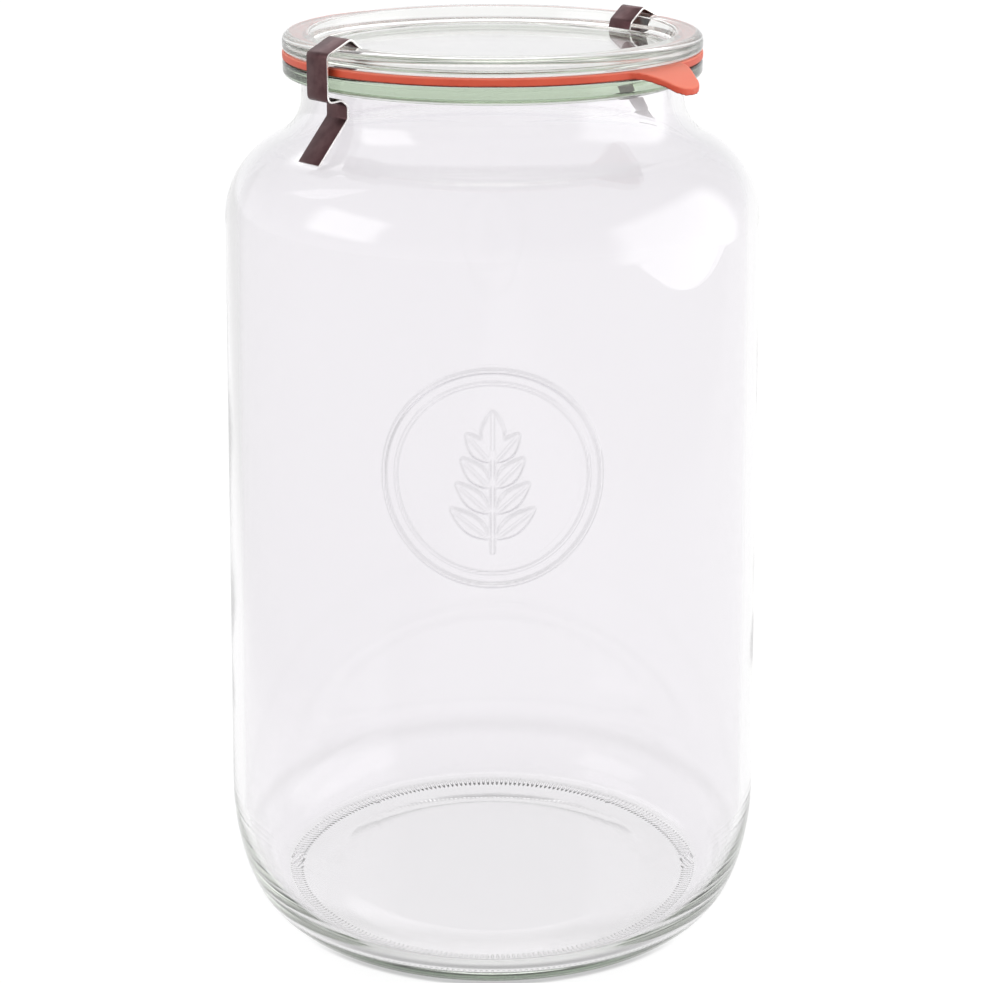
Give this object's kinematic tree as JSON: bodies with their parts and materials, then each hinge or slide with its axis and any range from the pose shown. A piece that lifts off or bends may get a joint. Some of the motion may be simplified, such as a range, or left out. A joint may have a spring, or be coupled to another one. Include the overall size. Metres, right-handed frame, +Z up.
{
  "type": "glass preserving jar with clip-on glass lid",
  "caption": "Tall clear glass preserving jar, empty, with a flat glass lid on an orange rubber sealing ring, held by spring clips",
  "frame": {"origin": "centre of the circle that the jar stands on", "axes": "+Z up along the jar's axis, -Y towards the embossed front, +X to the right seen from the front"},
  "size_m": [0.1618, 0.1618, 0.2695],
  "materials": {
    "glass": "clear soda-lime glass, faint green in the thick edges, fire polished, fine stippling on the foot",
    "rubber": "matt orange natural rubber, paler where light meets the edge",
    "steel": "bent spring steel strip with bright cut edges and rolled faces"
  },
  "bodies": {
    "root": {"jar_body": "glass", "glass_lid": "glass", "sealing_ring": "rubber", "clip_front": "steel", "clip_back": "steel"}
  },
  "joints": []
}
